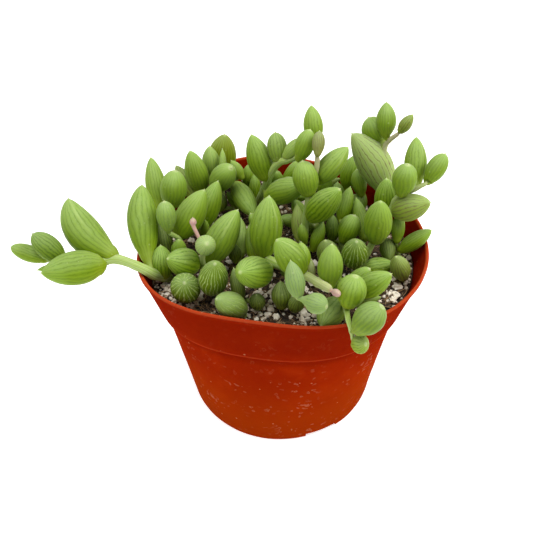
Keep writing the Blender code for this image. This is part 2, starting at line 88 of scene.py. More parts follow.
def newMesh(name, points, faces, *looks):
    mesh = bpy.data.meshes.new(name)
    mesh.from_pydata(points, [], faces)
    for look in looks:
        mesh.materials.append(look)
    return mesh


def makeCamera(make):
    data = bpy.data.cameras.new("photoCamera")
    data.lens = make["lens"]
    data.sensor_width = make["sensor"]
    data.clip_start, data.clip_end = (far * mm for far in make["clip"])
    right = Vector(make["right"]).normalized()
    back = right.cross(Vector(make["up"])).normalized()
    turn = Matrix((right, back.cross(right), back)).transposed().to_4x4()
    camera = addObject("photoCamera", data)
    camera.matrix_world = Matrix.Translation(Vector(make["place"]) * mm) @ turn
    bpy.context.scene.camera = camera


def makeLights(make):
    world = bpy.data.worlds.new("paleRoom")
    world.use_nodes = True
    sky = world.node_tree.nodes["Background"]
    sky.inputs["Color"].default_value = (*make["world"], 1)
    sky.inputs["Strength"].default_value = make["worldStrength"]
    bpy.context.scene.world = world
    for name, place, aim, size, watts, colour in make["lamps"]:
        data = bpy.data.lights.new(name, "AREA")
        data.shape = "DISK"
        data.size = size * mm
        data.energy = watts
        data.color = colour
        back = (Vector(place) - Vector(aim)).normalized()
        turn = back.to_track_quat("Z", "Y").to_matrix().to_4x4()
        addObject(name, data).matrix_world = Matrix.Translation(Vector(place) * mm) @ turn


class Value:
    # A node's output, reckoned with like a number: each step makes a node.
    def __init__(self, tree, socket):
        self.tree, self.socket = tree, socket

    def __add__(self, other):
        return calc(self.tree, "ADD", self, other)

    def __sub__(self, other):
        return calc(self.tree, "SUBTRACT", self, other)

    def __rsub__(self, other):
        return calc(self.tree, "SUBTRACT", other, self)

    def __mul__(self, other):
        return calc(self.tree, "MULTIPLY", self, other)

    def __abs__(self):
        return calc(self.tree, "ABSOLUTE", self)

    def above(self):
        # How far it is above 0; below: how far it is under 0
        return calc(self.tree, "MAXIMUM", self)

    def below(self):
        return (self * -1).above()

    def ramp(self, low, high, start=0, end=1):
        # A soft step from start to end as the value goes from low to high
        inputs = {"Value": self, "From Min": low, "From Max": high, "To Min": start, "To Max": end}
        return addNode(self.tree, "ShaderNodeMapRange", inputs, interpolation_type="SMOOTHSTEP")["Result"]


class Outputs:
    def __init__(self, tree, node):
        self.tree, self.node = tree, node

    def __getitem__(self, key):
        return Value(self.tree, self.node.outputs[key])


def setInputs(tree, node, inputs):
    # Joins another node's output, or sets a value that is the same everywhere
    for key, value in inputs.items():
        socket = node.inputs[key]
        if isinstance(value, Value):
            tree.links.new(value.socket, socket)
        else:
            socket.default_value = (*value, 1) if socket.type == "RGBA" else value


def addNode(tree, kind, inputs=None, **settings):
    made = tree.nodes.new(kind)
    for key, value in settings.items():
        setattr(made, key, value)
    setInputs(tree, made, inputs or {})
    return Outputs(tree, made)


def calc(tree, operation, first, second=0):
    return addNode(tree, "ShaderNodeMath", {0: first, 1: second}, operation=operation)[0]


def mixColour(tree, factor, first, second, blend="MIX"):
    inputs = {0: factor, 6: first, 7: second}
    return addNode(tree, "ShaderNodeMix", inputs, data_type="RGBA", blend_type=blend)[2]


def paint(make, colour, *coats):
    # Lays named colours one over another, each where its mask says
    for mask, name in coats:
        colour = mixColour(mask.tree, mask, colour, make[name])
    return colour


def noiseOf(place, scale, detail=3, rough=0.55):
    inputs = {"Vector": place, "Scale": scale, "Detail": detail, "Roughness": rough}
    return addNode(place.tree, "ShaderNodeTexNoise", inputs)["Fac"]


def partsOf(vector):
    return addNode(vector.tree, "ShaderNodeSeparateXYZ", {0: vector})


def markOf(tree, name):
    # The three values of a mark that the shoots' meshes carry
    return partsOf(addNode(tree, "ShaderNodeAttribute", attribute_name=name)["Vector"])


def objectPlace(tree):
    return addNode(tree, "ShaderNodeTexCoord")["Object"]


def newGroup(name, values, outputs):
    # A group that is given a place and named values, and puts out values
    group = bpy.data.node_groups.new(name, "ShaderNodeTree")
    group.interface.new_socket("Vector", in_out="INPUT", socket_type="NodeSocketVector")
    for label, value in values.items():
        socket = group.interface.new_socket(label, in_out="INPUT", socket_type="NodeSocketFloat")
        socket.default_value = value
    for label in outputs:
        group.interface.new_socket(label, in_out="OUTPUT", socket_type="NodeSocketFloat")
    given = addNode(group, "NodeGroupInput")
    out = group.nodes.new("NodeGroupOutput")
    return group, [given[number] for number in range(len(values) + 1)], out


def useGroup(group, place, values):
    return addNode(place.tree, "ShaderNodeGroup", {"Vector": place, **values}, node_tree=group)


def makeGrainGroup():
    # Fine unevenness: a mask and a height from two sizes of noise
    values = {"Scale": 900, "Coarse": 0.3}
    group, (place, scale, share), out = newGroup("fineGrain", values, ["Mask", "Height"])
    sizes = {0: share, 2: noiseOf(place, scale, 4), 3: noiseOf(place, scale * 0.15, 2)}
    both = addNode(group, "ShaderNodeMix", sizes, data_type="FLOAT")[0]
    setInputs(group, out, {"Mask": both.ramp(0.3, 0.7), "Height": both})
    return group


def makeSpeckGroup():
    # Scattered small spots: each cell's spot has its own size, and many cells have none.
    values = {"Scale": 300, "Size": 0.2, "Share": 0.3}
    group, (place, scale, size, share), out = newGroup("smallSpecks", values, ["Mask"])
    cells = addNode(group, "ShaderNodeTexVoronoi", {"Vector": place, "Scale": scale})
    luck = addNode(group, "ShaderNodeSeparateColor", {"Color": cells["Color"]})
    chosen = calc(group, "LESS_THAN", luck["Red"], share)
    spot = calc(group, "DIVIDE", cells["Distance"], size * (luck["Green"] + 0.35))
    setInputs(group, out, {"Mask": spot.ramp(0.7, 1, 1, 0) * chosen})
    return group


def newMaterial(name):
    made = bpy.data.materials.new(name)
    made.use_nodes = True
    tree = made.node_tree
    return made, tree, tree.nodes["Principled BSDF"]


def finishSurface(shader, make, colour, fine, height, dust=None):
    # Joins colour, roughness and relief, and sets what is the same all over the surface
    rough = fine["Height"].ramp(0.3, 0.7, *make["rough"])
    depth, strength = make["relief"]
    inputs = {"Height": height, "Distance": depth * mm, "Strength": strength}
    normal = addNode(fine.tree, "ShaderNodeBump", inputs)["Normal"]
    inputs = {"Base Color": colour, "Roughness": rough + dust if dust else rough, "Normal": normal}
    setInputs(fine.tree, shader, inputs | make.get("shader", {}))


# The leaves' colours and finish
leafMake = {
    "foot": (0.23, 0.31, 0.005),
    "middle": (0.165, 0.265, 0.002),
    "end": (0.23, 0.365, 0.03),
    # dark is laid in by a negative light value, partly as painted shade
    "dark": (0.06, 0.112, 0.002),
    "pale": (0.42, 0.53, 0.165),
    "blue": (0.26, 0.37, 0.16),
    "olive": (0.22, 0.2, 0.006),
    "plum": (0.22, 0.15, 0.11),
    "pink": (0.6, 0.3, 0.35),
    "rib": (0.29, 0.43, 0.015),
    "lineShade": (0.36, 0.5, 0.15),
    "lightLine": (0.36, 0.48, 0.12),
    "purpleLine": (0.17, 0.105, 0.05),
    "point": (0.55, 0.6, 0.3),
    # Waxy bloom colour, also laid on upward-facing surfaces as painted light
    "wax": (0.45, 0.58, 0.315),
    "lines": (17, 7),  # fewest lines round a leaf, and how many more at most
    "bend": (1.7, 1.4),  # slow and quick wander of the lines: noise scale, amount
    "wiggle": (6.5, 0.6),
    "waxAbove": 0.24, "waxPoint": 0.05, "keelShare": 0.6, "spotShare": 0.16,
    "spots": {"Scale": 900, "Size": 0.28, "Share": 0.12},
    "grain": {"Scale": 1500, "Coarse": 0.5},
    "rough": (0.36, 0.52),
    "relief": (0.12, 0.6),  # depth and strength
    "shader": {
        "Subsurface Weight": 0.35, "Subsurface Radius": (0.7, 1, 0.25), "Subsurface Scale": 0.0022,
        "Specular IOR Level": 0.05,
        "Sheen Weight": 0.05, "Sheen Roughness": 0.3, "Sheen Tint": (0.85, 1, 0.85),
    },
}


def makeLeafMaterial(make, grain, specks):
    made, tree, shader = newMaterial("fleshyLeaf")
    across, around, along = markOf(tree, "girth")
    light, blue, olive = markOf(tree, "leafTone")
    stripe, width, purple = markOf(tree, "leafMark")
    seed, keel, plum = markOf(tree, "leafExtra")

    # Lengthwise lines: the angle round the leaf, bent a little by noise that has no seam
    ring = addNode(tree, "ShaderNodeCombineXYZ", {0: across, 1: around, 2: along * 2.2 + seed * 37})[0]
    bend, wiggle = (noiseOf(ring, make[name][0], 2) for name in ("bend", "wiggle"))
    angle = calc(tree, "ARCTAN2", around, across)
    fewest, more = make["lines"]
    count = calc(tree, "FLOOR", seed * more) + fewest
    turns = angle * (1 / tau) * count + bend * make["bend"][1] + wiggle * make["wiggle"][1] + 20
    away = abs(calc(tree, "FRACT", turns) - 0.5)
    line = away.ramp(width - 0.05, width + 0.07, 1, 0) * noiseOf(ring, 3.1, 2).ramp(0.3, 0.6, 0.5, 1)
    line = line * (along.ramp(0, 0.25) * along.ramp(0.93, 1, 1, 0.3))

    # Green from foot to point, each leaf's tones, and light ribs halfway between the lines. A leaf's tone is
    # partly its own colour and partly painted shade, where dark and deep leaves sit in shadow.
    reach = along + (noiseOf(ring, 1.1, 3) - 0.5) * 0.35
    colour = paint(
        make, make["foot"],
        (reach.ramp(0, 0.34), "middle"), (reach.ramp(0.55, 1), "end"),
        (light.above(), "pale"), (light.below(), "dark"), (blue, "blue"), (olive, "olive"),
        (plum.above(), "plum"), (away.ramp(0.2, 0.5, 0, 0.3), "rib"),
    )
    shaded = mixColour(tree, 1, colour, make["lineShade"], "MULTIPLY")
    colour = mixColour(tree, line * stripe.above(), colour, shaded)

    # Pale keel from the point. Painted light makes upward-facing surfaces paler, together with waxy bloom that
    # thickens toward the point.
    side = abs(angle - (bend - 0.5) * 0.5)
    ridge = side.ramp(0.03, 0.16, 1, 0) * along.ramp(0.35, 0.75) * keel
    place = objectPlace(tree)
    fine = useGroup(grain, place, make["grain"])
    spots = useGroup(specks, place, make["spots"])
    lie = partsOf(addNode(tree, "ShaderNodeNewGeometry")["Normal"])[2]
    wax = lie.ramp(0.2, 1, 0, make["waxAbove"]) + along.ramp(0.4, 1, 0, make["waxPoint"])
    wax = wax * (fine["Mask"] * 0.4 + 0.7) * (1 - line * 0.5)
    colour = paint(
        make, colour,
        (line * stripe.below(), "lightLine"), (line * purple, "purpleLine"),
        (ridge * make["keelShare"], "pale"), (along.ramp(0.972, 1, 0, 0.7), "point"),
        (plum.below(), "pink"), (wax, "wax"), (spots["Mask"] * make["spotShare"], "point"),
    )
    finishSurface(shader, make, colour, fine, fine["Height"] * 0.35 - line * 0.25 + ridge * 0.8)
    return made


stemMake = {
    "green": (0.29, 0.41, 0.075),
    "pale": (0.43, 0.54, 0.2),
    "blush": (0.52, 0.39, 0.32),
    "scar": (0.3, 0.26, 0.12),
    "grain": {"Scale": 1300, "Coarse": 0.4},
    "rough": (0.42, 0.6),
    "relief": (0.1, 0.6),
    "shader": {
        "Subsurface Weight": 0.3, "Subsurface Radius": (0.7, 1, 0.3), "Subsurface Scale": 0.0015,
        "Specular IOR Level": 0.15,
    },
}


def makeStemMaterial(make, grain):
    made, tree, shader = newMaterial("greenStem")
    across, around, along = markOf(tree, "girth")
    blush = markOf(tree, "leafExtra")[1]
    ring = addNode(tree, "ShaderNodeCombineXYZ", {0: across, 1: around, 2: along * 0.6})[0]
    streak = noiseOf(ring, 4, 3)
    fine = useGroup(grain, objectPlace(tree), make["grain"])
    scars = fine["Height"].ramp(0.6, 0.68, 0, 0.35)
    colour = paint(make, make["green"], (streak.ramp(0.35, 0.65), "pale"), (blush, "blush"), (scars, "scar"))
    finishSurface(shader, make, colour, fine, streak + fine["Height"])
    return made


# Each leaf's look: light, blue, olive, stripe, line width, purple lines, keel, plum. The light value is partly
# painted shade: the dark and deep looks darken leaves that sit in shadow.
leafLooks = {
    "fresh": (0.03, 0.05, 0, 0.45, 0.07, 0, 0.1, 0),
    "misty": (-0.45, 0.6, 0, 0.35, 0.08, 0, 0, 0),
    "mossy": (-0.7, 0.3, 0.1, -0.55, 0.1, 0, 0, 0),
    "satin": (-0.35, 0.2, 0, 0.15, 0.07, 0, 0.1, 0),
    "soft": (0, 0.12, 0, 0.15, 0.07, 0, 0.1, 0),
    "keeled": (0.06, 0.08, 0, 0.5, 0.07, 0, 0.7, 0),
    "bright": (0.1, 0, 0, 0.3, 0.07, 0, 0.2, 0),
    "pale": (0.35, 0.15, 0, 0.45, 0.08, 0, 0.3, 0),
    "bluish": (0.05, 0.35, 0, 0.3, 0.08, 0, 0.1, 0),
    "dark": (-0.45, 0.1, 0, 0.45, 0.1, 0, 0, 0),
    "bloomed": (-0.2, 0.25, 0.1, 0.4, 0.1, 0, 0, 0),
    "deep": (-0.7, 0.1, 0.15, 0.5, 0.12, 0, 0, 0.1),
    "olive": (-0.1, 0, 0.5, 0.2, 0.1, 0, 0, 0),
    "striped": (-0.05, 0.05, 0, 0.75, 0.11, 0, 0.2, 0),
    "melon": (-0.8, 0, 0, -1, 0.13, 0, 0, 0),
    "signature": (0.95, 0.3, 0.1, 0.3, 0.06, 0.75, 0, 0),
    "purpleLined": (0.2, 0.15, 0.25, 0.3, 0.07, 0.8, 0, 0.05),
    "plum": (-0.1, 0.05, 0.2, 0.4, 0.1, 0.2, 0, 0.5),
    "plumTip": (-0.05, 0.15, 0.2, 0.5, 0.1, 0.3, 0, 0.2),
    "ball": (0.6, 0.4, 0, 0.45, 0.1, 0, 0, 0.05),
    "yellowBall": (0.2, 0, 0.25, 0.6, 0.1, 0, 0, 0),
    "pinkBud": (0.4, 0.2, 0, 0.1, 0.08, 0, 0, -0.8),
    "plain": (-0.1, 0.12, 0, 0.12, 0.07, 0, 0.1, 0),
}

# A leaf's form: how fast it swells from the foot, and how fast it narrows to the tip
pointed = (0.6, 0.75)
rounded = (0.6, 0.55)
tapered = (0.75, 0.7)

# The leafy stems, as they stand in the part: the root's place, the thickness of the main stem and of
# all tips, blush, stems, and then the leaves: look, foot, tip, width, form and bow.
shoots = {
    "trailer_left": (
        (-40, -13), (4.2, 2.4), 0,
        [[(-43, -19, 75), (-46.5, -20, 79.2), (-55, -17, 81), (-61, -18, 81), (-70, -19, 82), (-78, -18, 83)]],
        ("keeled", (-55, -16, 81), (-72, -1, 96), 12.5, tapered, (-2.8, -1.6, -1.7)),
        ("fresh", (-59, -19, 81), (-78, -27, 85), 11.5), ("dark", (-73, -18, 82), (-82, -15, 92), 8, rounded),
        ("fresh", (-79, -17, 82), (-92, -13, 85), 6, rounded), ("bright", (-75, -20, 82), (-82, -21, 81), 2),
        ("striped", (-41, -16, 70), (-40.7, -11.5, 82), 8.8),
        ("fresh", (-45, -15, 77), (-47.5, 7, 95), 10.9, tapered, (-1, 0, 0)),
    ),
    "left_low": (
        (-35, -3), (2.2, 1.7), 0, [[(-36, -2, 73), (-35, -5, 79), (-38, -7, 84)]],
        ("bluish", (-38, -7, 85), (-38, -5, 96), 7, rounded), ("bright", (-36, -2, 77), (-25, 4, 94), 10.5),
        ("fresh", (-36, -8, 72), (-34.2, -10, 83), 5.8),
    ),
    "left_edge": ((-40, -5), (2, 1.6), 0, [[(-40, -5, 69)]], ("deep", (-40.6, -6, 70), (-42.4, 1.5, 82.5), 7)),
    "left_middle": (
        (-28, 9), (2.2, 1.6), 0, [[(-29, 6, 74)]],
        ("fresh", (-29, 8, 73), (-21, 15, 90), 9), ("bright", (-28, 6, 71), (-26, 3, 81), 4),
    ),
    "left_back": (
        (-39, 16), (2.2, 1.6), 0, [[(-39, 12, 74), (-39, 10, 82)]],
        ("soft", (-39, 10, 82), (-36, 14, 96), 10, rounded), ("fresh", (-44, 13, 79), (-47, 27, 94), 8),
    ),
    "back_left_outer": (
        (-29, 31), (2.2, 1.6), 0, [[(-30, 26, 76)]],
        ("plumTip", (-32, 24, 76), (-39, 33, 86), 7), ("fresh", (-29, 26, 77), (-32, 29, 95), 9),
    ),
    "back_left_inner": (
        (-22, 36), (2.4, 1.6), 0,
        [[(-22, 34, 74), (-23, 30, 79), (-24, 26, 81)], [(-22, 35, 72), (-18, 34, 77), (-14, 33, 79)]],
        ("pale", (-25, 33, 80), (-25, 35, 93), 7.4), ("olive", (-23, 42, 75), (-19, 40, 95), 11.5),
        ("pale", (-20, 27, 85), (-20, 34, 92), 3), ("soft", (-24, 25, 80), (-16, 19, 93), 9.5, rounded),
        ("bright", (-13, 32, 79), (-17, 35, 86), 5),
    ),
    "back_middle": (
        (-11, 31), (2, 1.6), 0, [[(-12, 29, 74), (-15, 28, 78)], [(-11, 31, 69), (-14, 26, 70), (-21, 23, 71)]],
        ("fresh", (-16, 29, 79), (-8, 11, 76), 8.5), ("dark", (-15, 23, 71), (-19, 25, 78), 3.5),
        ("fresh", (-11, 37, 72), (-10, 38, 82), 6), ("striped", (-8, 30, 70), (-8, 34, 80), 5),
        ("deep", (-22, 22, 71), (-21, 25, 77), 5),
    ),
    "middle_back": (
        (-8, 27), (3.2, 2.4), 0, [[(-5, 23, 78), (-1, 19, 90), (2, 18, 95), (8, 15, 99), (14, 15, 104)]],
        ("fresh", (-3, 20, 86), (-8, 27, 102), 9.5), ("bloomed", (2, 18, 94), (1, 26, 103), 7.5, rounded),
        ("pale", (4, 17, 97), (12, 18, 105), 6.5), ("soft", (9, 11, 100), (13, 13, 111), 7, rounded),
        ("fresh", (15, 16, 104), (14, 23, 115), 7), ("fresh", (-3, 18, 80), (11, 9, 91), 10),
    ),
    "middle": (
        (9, -3), (3.2, 1.8), 0.6,
        [[(10, -2, 74), (11, 0, 84), (12, 1, 91), (14, 4, 97), (15, 5, 102), (15, 6, 105)]],
        ("fresh", (12, 1, 91), (10, 6, 103), 9, rounded), ("keeled", (15, 6, 94), (26, 9, 106), 8.5),
        ("striped", (12, -1, 83), (22, -6, 99), 10), ("bright", (10, -5, 75), (9, -4, 83), 4),
        ("plum", (15, 4, 106), (16, 10, 112), 4.5, rounded), ("purpleLined", (8, -1, 73), (8, 8, 83), 5),
        ("fresh", (13, -5, 71), (17, -2, 82), 5),
    ),
    "back_right": (
        (40, 19), (2.6, 1.6), 0.7, [[(42, 18, 78), (41, 17, 93), (41, 19, 100), (45, 17, 106)]],
        ("signature", (43, 16, 81), (29, 23, 103), 13, pointed, (1, 0, 1)),
        ("plain", (41, 20, 103), (41, 25, 114), 7.4), ("plain", (40, 23, 98), (35.5, 28, 106.5), 9.5, rounded),
        ("plumTip", (45, 17, 106), (49, 17, 113), 4.5),
    ),
    "right": (
        (31, -9), (3, 1.5), 0.25,
        [[(32, -9, 71), (35, -7, 77), (40, -4, 86), (42, -3, 92), (47, -3, 95), (52, -3, 98)]],
        ("fresh", (35, -9, 78), (35, -11, 97), 10), ("striped", (40, 1, 81), (39, 2, 97), 8.5),
        ("purpleLined", (41, -4, 87), (52, -10, 95), 9.5), ("plain", (43, -5, 95), (44, -5, 107), 8.4, rounded),
        ("keeled", (49, 1, 94), (50, 12, 107), 8), ("plain", (52, -2, 97), (58, 2, 106), 6.6, rounded),
    ),
    "right_edge": (
        (45, -7), (2, 1.4), 0, [[(44, -6, 70), (43, -6, 75)]],
        ("fresh", (43, -8, 76), (44, -2, 84), 5, rounded), ("fresh", (44, -9, 73), (54, -10, 83), 6),
        ("deep", (40, -4, 74), (40, -13, 72), 6),
    ),
    "right_sprout": ((45, -17), (2, 1.6), 0, [[(44, -18, 69)]], ("plumTip", (44, -20, 70), (40, -21, 81), 7)),
    "right_low": (
        (28, -16), (2.4, 1.6), 0, [[(28, -15, 70)]],
        ("striped", (30, -16, 71), (41, -16, 73), 7), ("melon", (27, -13, 71), (27, -17, 85), 9.5),
    ),
    "right_middle": (
        (24, -1), (2.4, 1.4), 0, [[(24, 0, 71), (24, 2, 78)], [(24, -1, 69), (29, -2, 70), (33, -2, 72)]],
        ("fresh", (24, 4, 77), (28, 12, 87), 6), ("fresh", (33, -2, 72), (30, 9, 84), 6),
        ("fresh", (24, -6, 76), (28, -4, 86), 8, rounded), ("dark", (21, 1, 70), (21, 5, 80), 5.5),
    ),
    "right_back": (
        (30, 25), (2.2, 1.6), 0, [
            [(30, 25, 72), (33, 22, 76)], [(30, 25, 69), (25, 26, 70), (19, 26, 72)],
            [(30, 25, 69), (32, 20, 70), (32, 17, 70)],
        ],
        ("fresh", (34, 21, 76), (32, 25, 86), 6, rounded), ("fresh", (29, 29, 74), (32, 32, 88), 8),
        ("dark", (25, 25, 70), (25, 27, 79), 6), ("fresh", (19, 26, 73), (21, 21, 85), 6),
        ("dark", (32, 17, 70), (35, 25, 76), 6),
    ),
    "creeper": (
        (-8, -6), (3.4, 2.8), 0.35, [
            [(-8, -7, 70), (-5, -12, 75), (2, -24, 81), (9, -32, 84), (13, -38, 86), (16, -42, 87)],
            [(4, -27, 82), (6, -38, 86), (6, -45, 87)],
        ],
        ("keeled", (-5, -13, 76), (-2, -7, 98), 11.5), ("fresh", (-8, -11, 72), (-9, -2, 83), 6.5),
        ("striped", (-4, -22, 77), (-12, -35, 89.3), 11),
        ("keeled", (8, -31, 83), (0, -29, 97), 9.5, pointed, (0, 1, 0)),
        ("bright", (8, -27, 82), (8, -21, 89), 6), ("soft", (16, -36, 83), (17, -32, 97), 8),
        ("misty", (6, -45, 87), (4, -38, 96), 6.1),
        ("pinkBud", (16.5, -42.5, 87), (18.2, -46.2, 89), 2.4, rounded),
        ("misty", (8, -46.5, 87.5), (14, -51, 89), 6.3, rounded),
    ),
    "trailer_front": (
        (21, -32), (2.6, 1.4), 0, [[(21, -36, 75), (21, -43, 79), (21, -48, 80), (22, -50, 77), (23, -49, 71)]],
        ("fresh", (21.3, -42.8, 80.2), (23.6, -40.6, 91.2), 9.3, rounded),
        ("fresh", (25, -35, 78), (35, -38, 89), 8), ("pale", (23, -35, 74), (33, -36, 77), 5),
        ("bloomed", (20, -34, 74), (13, -45, 74), 9),
        ("satin", (23, -51, 78), (30.6, -50.2, 87.4), 9.5, rounded),
        ("yellowBall", (23, -51, 72), (26, -54, 75), 6, rounded),
    ),
    "front_left": (
        (-27, -11), (2.6, 2), 0.5, [
            [(-26, -14, 73)], [(-26, -14, 72), (-26, -17, 79), (-25, -16, 84)],
            [(-27, -12, 70), (-28, -19, 71), (-31, -24, 71)], [(-27, -12, 70), (-25, -19, 71), (-23, -24, 71)],
        ],
        ("pinkBud", (-28, -13, 91), (-28, -11.5, 93.4), 2.4, rounded),
        ("striped", (-28, -15, 75), (-37, -21, 84), 10), ("melon", (-32, -24, 71), (-31, -29, 80), 10.5),
        ("melon", (-23, -24, 71), (-20, -30, 89), 10), ("keeled", (-25, -13, 74), (-13, -6, 92), 11),
        ("ball", (-25, -16, 84), (-23, -21, 90), 7, rounded),
    ),
    "front_ball": ((-12, -33), (2.4, 1.8), 0, [[(-12, -34, 69)]], ("mossy", (-12, -34, 71), (-20, -38, 81), 9)),
    "inner_left": (
        (-14, -5), (2.2, 1.8), 0, [[(-14, -6, 69)]],
        ("bloomed", (-13, -5, 70), (-13, 6, 79), 5), ("deep", (-15, -8, 70), (-16, -6, 77), 5),
    ),
    "inner_front": (
        (-11, -27), (2.2, 1.8), 0, [[(-11, -27, 69)]],
        ("deep", (-7.2, -31, 69.2), (-7.4, -31.8, 76), 5.6), ("deep", (-13, -28, 69), (-15, -21.5, 79), 5),
    ),
    "front_middle": (
        (2, -30), (2.2, 1.6), 0, [[(2, -30, 69)]],
        ("deep", (5, -33, 69.5), (6.5, -35, 77.5), 5.5), ("deep", (1, -31.5, 69.4), (0.7, -28, 78), 7),
    ),
    "purple_bud": ((12, -17), (1.6, 1.4), 0, [[(12, -17, 69)]], ("plum", (12, -19, 69), (12, -13, 74), 3)),
    "front_right": ((19, -9), (2, 1.6), 0, [[(19, -9, 69)]], ("deep", (19, -11, 70), (17, -11, 81), 8)),
}

# Low rosettes between the shoots: x, y, leaves, leaf length, bearing
rosetteMake = {
    "rows": [
        (3, 39, 4, 13, 240), (13, 38, 3, 7, 96), (8, 28, 4, 6, 264), (21, 36, 3, 7, 72),
        (13, 10, 5, 12, 0), (-4, 4, 3, 11, 0), (4, -15, 3, 10, 120), (-20, 3, 3, 8, 120),
        (36, 10, 3, 12, 24), (22, -25, 3, 13, 216), (-35, 19, 4, 8, 336),
    ],
    "thick": (2, 1.6),
    "turn": 137.5,
    "lean": (28, 9),  # the first leaf's, in degrees, and how much more each next one has
    "foot": 69.6, "width": 0.46,
    # The dark and deep looks are painted shade on low leaves that sit in shadow
    "looks": ("dark", "fresh", "deep", "fresh"),
}


def rosette(make, x, y, count, long, bearing):
    leaves = []
    for number in range(count):
        turn = radians(bearing + make["turn"] * number)
        lean = radians(make["lean"][0] + make["lean"][1] * number)
        out = Vector((cos(turn), sin(turn), 0))
        foot = Vector((x, y, make["foot"] + 0.5 * number)) + 0.8 * out
        tip = foot + long * (sin(lean) * out + Vector((0, 0, cos(lean))))
        leaves.append((make["looks"][number % len(make["looks"])], foot, tip, make["width"] * long, rounded))
    return (x, y), make["thick"], 0, [[(x, y, 69), (x, y, 70.5)]], *leaves


# How every shoot's mesh is made. A leaf narrower than smallLeaf gets fewer sides and rings.
shapeMake = {
    "root": (62, 67.6),
    "stemSpacing": 1.1, "stemSides": 14,
    "smallLeaf": 6, "leafSides": (14, 20), "leafRings": (12, 20),
    "footShare": 0.13, "neckRings": 7, "neckShare": 0.12, "neckRadius": (0.6, 0.9),
    "point": 0.55, "pointRadius": 0.1, "ridge": 0.05, "dent": 0.035, "toneSpread": 0.07, "swell": 0.16,
    "facing": (0.1, -0.72, 0.68),
}
markNames = ("girth", "leafTone", "leafMark", "leafExtra")


class MeshStore:
    # Gathers the points, faces and marks of one shoot
    def __init__(self):
        self.points, self.faces, self.looks = [], [], []
        self.marks = {name: [] for name in markNames}

    def addPoint(self, place, *marks):
        self.points.append(place * mm)
        for name, value in zip(markNames, marks):
            self.marks[name].append(value)
        return len(self.points) - 1

    def makeObject(self, name, materials):
        mesh = newMesh(name, self.points, self.faces, *materials)
        mesh.polygons.foreach_set("material_index", self.looks)
        for key, values in self.marks.items():
            layer = mesh.attributes.new(key, "FLOAT_VECTOR", "POINT")
            layer.data.foreach_set("vector", [number for value in values for number in value])
        mesh.shade_smooth()
        mesh.update()
        return addObject(name, mesh)


def catmullWay(points, spacing):
    ends = [2 * points[0] - points[1]] + points + [2 * points[-1] - points[-2]]
    way = []
    for i in range(1, len(ends) - 2):
        a, b, c, d = ends[i - 1 : i + 3]
        steps = max(1, round((c - b).length / spacing))
        for step in range(steps):
            t = step / steps
            cubic = (3 * b - a - 3 * c + d) * t**3
            way.append(0.5 * (2 * b + (c - a) * t + (2 * a - 5 * b + 4 * c - d) * t**2 + cubic))
    return way + [points[-1]]


def sweep(store, way, radii, shares, sides, marks, lookIndex, shaping=None):
    # A closed tube along the way. radii, shares: one for each point; shaping(share, turn) scales a radius.
    normal = None
    rows = []
    for i, centre in enumerate(way):
        tangent = (way[min(i + 1, len(way) - 1)] - way[max(i - 1, 0)]).normalized()
        if normal is None:
            facing = Vector(shapeMake["facing"])
            normal = facing if abs(facing.dot(tangent)) < 0.95 else Vector((1, 0, 0))
        normal = (normal - tangent * normal.dot(tangent)).normalized()
        side = tangent.cross(normal)
        row = []
        for k in range(sides):
            turn = tau * k / sides
            reach = radii[i] * (shaping(shares[i], turn) if shaping else 1)
            place = centre + reach * (cos(turn) * normal + sin(turn) * side)
            row.append(store.addPoint(place, (cos(turn), sin(turn), shares[i]), *marks))
        rows.append(row)
    first, last = (store.addPoint(way[end], (1, 0, shares[end]), *marks) for end in (0, -1))
    before = len(store.faces)
    for low, high in zip(rows, rows[1:]):
        for k in range(sides):
            after = (k + 1) % sides
            store.faces.append((low[k], low[after], high[after], high[k]))
    for k in range(sides):
        after = (k + 1) % sides
        store.faces.append((first, rows[0][after], rows[0][k]))
        store.faces.append((last, rows[-1][k], rows[-1][after]))
    store.looks += [lookIndex] * (len(store.faces) - before)


def addLeaf(store, ways, pick, make, look, foot, tip, wide, form=pointed, bow=(0, 0, 0)):
    foot, tip, bow = Vector(foot), Vector(tip), Vector(bow)
    near = min((point for way in ways for point in way), key=lambda point: (point - foot).length)
    a, b = form
    widest = a / (a + b)
    large = wide >= make["smallLeaf"]

    def centreAt(share):
        return foot + share * (tip - foot) + 4 * share * (1 - share) * bow

    def radiusAt(share):
        return 0.5 * wide * (share / widest) ** a * (max(1 - share, 0) / (1 - widest)) ** b

    thinnest, thickest = make["neckRadius"]
    neck = min(max(make["neckShare"] * wide, thinnest), thickest)
    startShare = make["footShare"]
    start = centreAt(startShare)
    way, radii, shares = [], [], []
    # The neck leaves the stem at the nearest place and bends into the leaf.
    for i in range(make["neckRings"]):
        u = i / make["neckRings"]
        way.append((1 - u) ** 2 * near + 2 * u * (1 - u) * foot + u * u * start)
        grown = u * u * (3 - 2 * u)
        radii.append(neck + (radiusAt(startShare) - neck) * grown**1.4)
        shares.append(startShare * u - 0.1 * (1 - u))
    rings = make["leafRings"][large]
    for i in range(rings + 1):
        u = i / rings
        share = min(startShare + (1 - startShare) * sin(0.5 * pi * u) ** 0.9, 0.995)
        way.append(centreAt(share))
        radii.append(max(radiusAt(share), 0.03 * wide * (1 - u) + 0.16))
        shares.append(share)
    out = (tip - centreAt(0.97)).normalized()
    way.append(tip + out * make["point"] * 0.6)
    radii.append(make["pointRadius"])
    shares.append(1)
    light, blue, olive, stripe, width, purple, keel, plum = leafLooks[look]
    seed = pick.random()
    light += pick.uniform(-make["toneSpread"], make["toneSpread"])
    marks = ((light, blue, olive), (stripe, width, purple), (seed, keel, plum))
    phase = pick.uniform(0, tau)
    dent = pick.uniform(0, make["dent"])

    def shaping(share, turn):
        ridge = max(share - 0.5, 0) * 2
        keels = make["ridge"] * ridge * (abs(cos(turn)) ** 6)
        return 1 - dent * cos(2 * (turn - phase)) + keels

    sweep(store, way, radii, shares, make["leafSides"][large], marks, 0, shaping)
    return near


